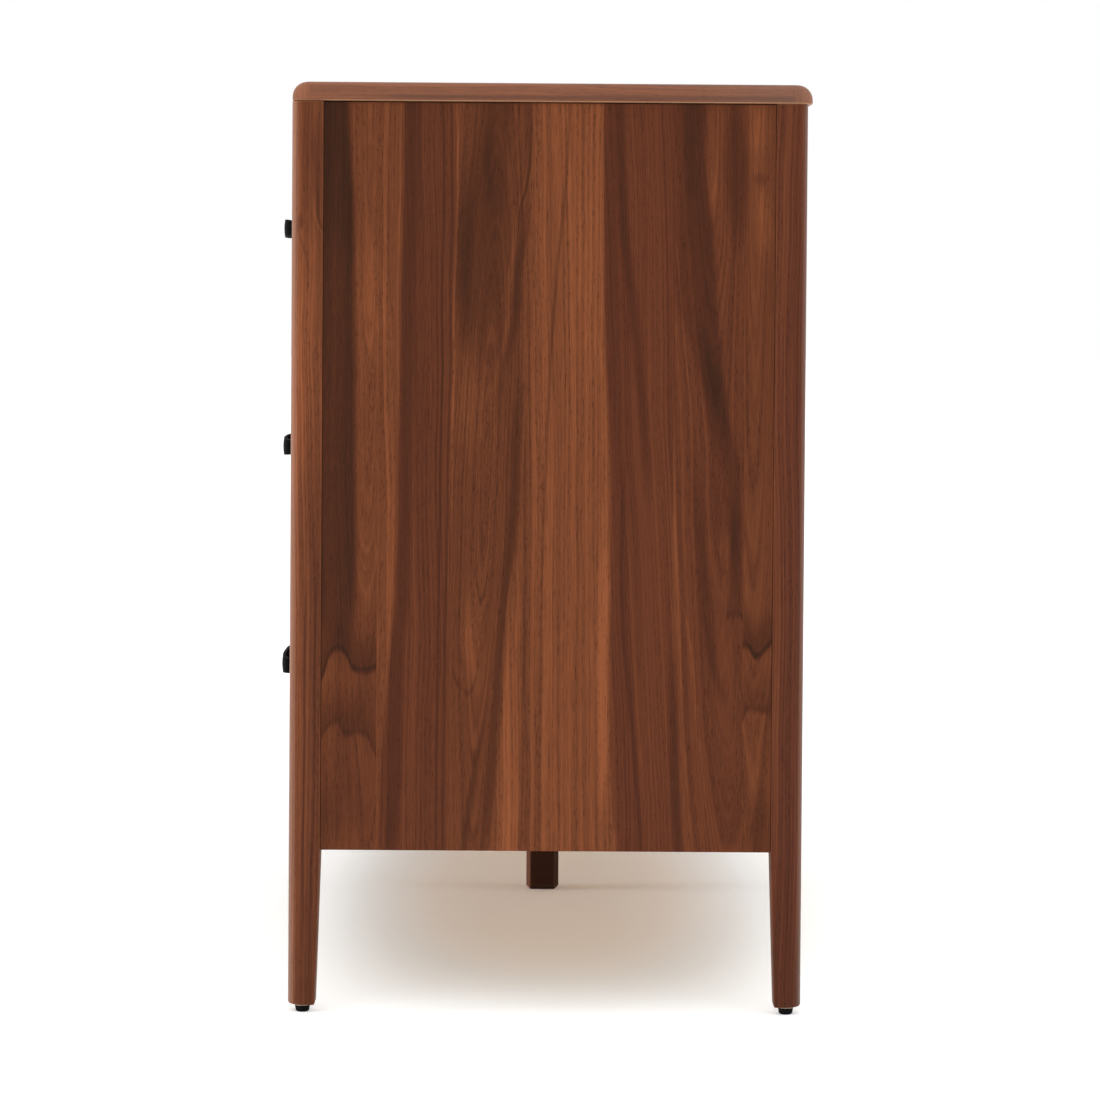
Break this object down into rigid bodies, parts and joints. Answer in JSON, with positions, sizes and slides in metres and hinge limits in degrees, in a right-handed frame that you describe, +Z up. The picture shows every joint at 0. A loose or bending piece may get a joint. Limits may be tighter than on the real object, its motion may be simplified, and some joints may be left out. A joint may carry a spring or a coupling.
{
  "type": "dresser",
  "caption": "Wide wooden dresser on tapered legs with a rounded top, two columns of dovetailed drawers that slide out, and black bow pulls.",
  "frame": {"origin": "on the floor, at the middle of the width and of the depth over pulls and top", "axes": "+X along the width to the right as seen from the front, +Y towards the back, +Z up; the drawers open towards -Y"},
  "size_m": [1.524, 0.5403, 0.9144],
  "materials": {
    "walnut": "satin oil, vertical grain",
    "walnut_veneer": "satin lacquered veneer",
    "birch": "clear lacquer",
    "birch_ply": "clear lacquer",
    "black_metal": "matte black powder coat",
    "black_nylon": "moulded"
  },
  "bodies": {
    "case": {"top": "walnut_veneer", "post_front_left": "walnut", "glide_front_left": "black_nylon", "post_rear_left": "walnut", "glide_rear_left": "black_nylon", "side_panel_left": "walnut_veneer", "dust_panel_middle_left": "birch_ply", "dust_panel_top_left": "birch_ply", "post_front_right": "walnut", "glide_front_right": "black_nylon", "post_rear_right": "walnut", "glide_rear_right": "black_nylon", "side_panel_right": "walnut_veneer", "dust_panel_middle_right": "birch_ply", "dust_panel_top_right": "birch_ply", "back_panel": "birch_ply", "bottom_panel": "birch_ply", "centre_partition": "birch_ply", "centre_stile": "walnut", "front_bottom_rail": "walnut", "rear_bottom_rail": "birch", "front_top_stretcher": "birch", "rear_top_stretcher": "birch", "centre_leg": "walnut"},
    "drawer_bottom_left": {"drawer_bottom_left_front": "walnut_veneer", "drawer_bottom_left_side_left": "birch", "drawer_bottom_left_side_right": "birch", "drawer_bottom_left_back": "birch", "drawer_bottom_left_bottom": "birch_ply", "drawer_bottom_left_pull": "black_metal"},
    "drawer_bottom_right": {"drawer_bottom_right_front": "walnut_veneer", "drawer_bottom_right_side_left": "birch", "drawer_bottom_right_side_right": "birch", "drawer_bottom_right_back": "birch", "drawer_bottom_right_bottom": "birch_ply", "drawer_bottom_right_pull": "black_metal"},
    "drawer_middle_left": {"drawer_middle_left_front": "walnut_veneer", "drawer_middle_left_side_left": "birch", "drawer_middle_left_side_right": "birch", "drawer_middle_left_back": "birch", "drawer_middle_left_bottom": "birch_ply", "drawer_middle_left_pull": "black_metal"},
    "drawer_middle_right": {"drawer_middle_right_front": "walnut_veneer", "drawer_middle_right_side_left": "birch", "drawer_middle_right_side_right": "birch", "drawer_middle_right_back": "birch", "drawer_middle_right_bottom": "birch_ply", "drawer_middle_right_pull": "black_metal"},
    "drawer_top_left": {"drawer_top_left_front": "walnut_veneer", "drawer_top_left_side_left": "birch", "drawer_top_left_side_right": "birch", "drawer_top_left_back": "birch", "drawer_top_left_bottom": "birch_ply", "drawer_top_left_pull": "black_metal"},
    "drawer_top_right": {"drawer_top_right_front": "walnut_veneer", "drawer_top_right_side_left": "birch", "drawer_top_right_side_right": "birch", "drawer_top_right_back": "birch", "drawer_top_right_bottom": "birch_ply", "drawer_top_right_pull": "black_metal"}
  },
  "joints": [
    {"name": "drawer_bottom_left_slide", "type": "slide", "parent": "case", "child": "drawer_bottom_left", "axis": [0, -1, 0], "range_m": [0, 0.36]},
    {"name": "drawer_bottom_right_slide", "type": "slide", "parent": "case", "child": "drawer_bottom_right", "axis": [0, -1, 0], "range_m": [0, 0.36]},
    {"name": "drawer_middle_left_slide", "type": "slide", "parent": "case", "child": "drawer_middle_left", "axis": [0, -1, 0], "range_m": [0, 0.36]},
    {"name": "drawer_middle_right_slide", "type": "slide", "parent": "case", "child": "drawer_middle_right", "axis": [0, -1, 0], "range_m": [0, 0.36]},
    {"name": "drawer_top_left_slide", "type": "slide", "parent": "case", "child": "drawer_top_left", "axis": [0, -1, 0], "range_m": [0, 0.36]},
    {"name": "drawer_top_right_slide", "type": "slide", "parent": "case", "child": "drawer_top_right", "axis": [0, -1, 0], "range_m": [0, 0.36]}
  ]
}
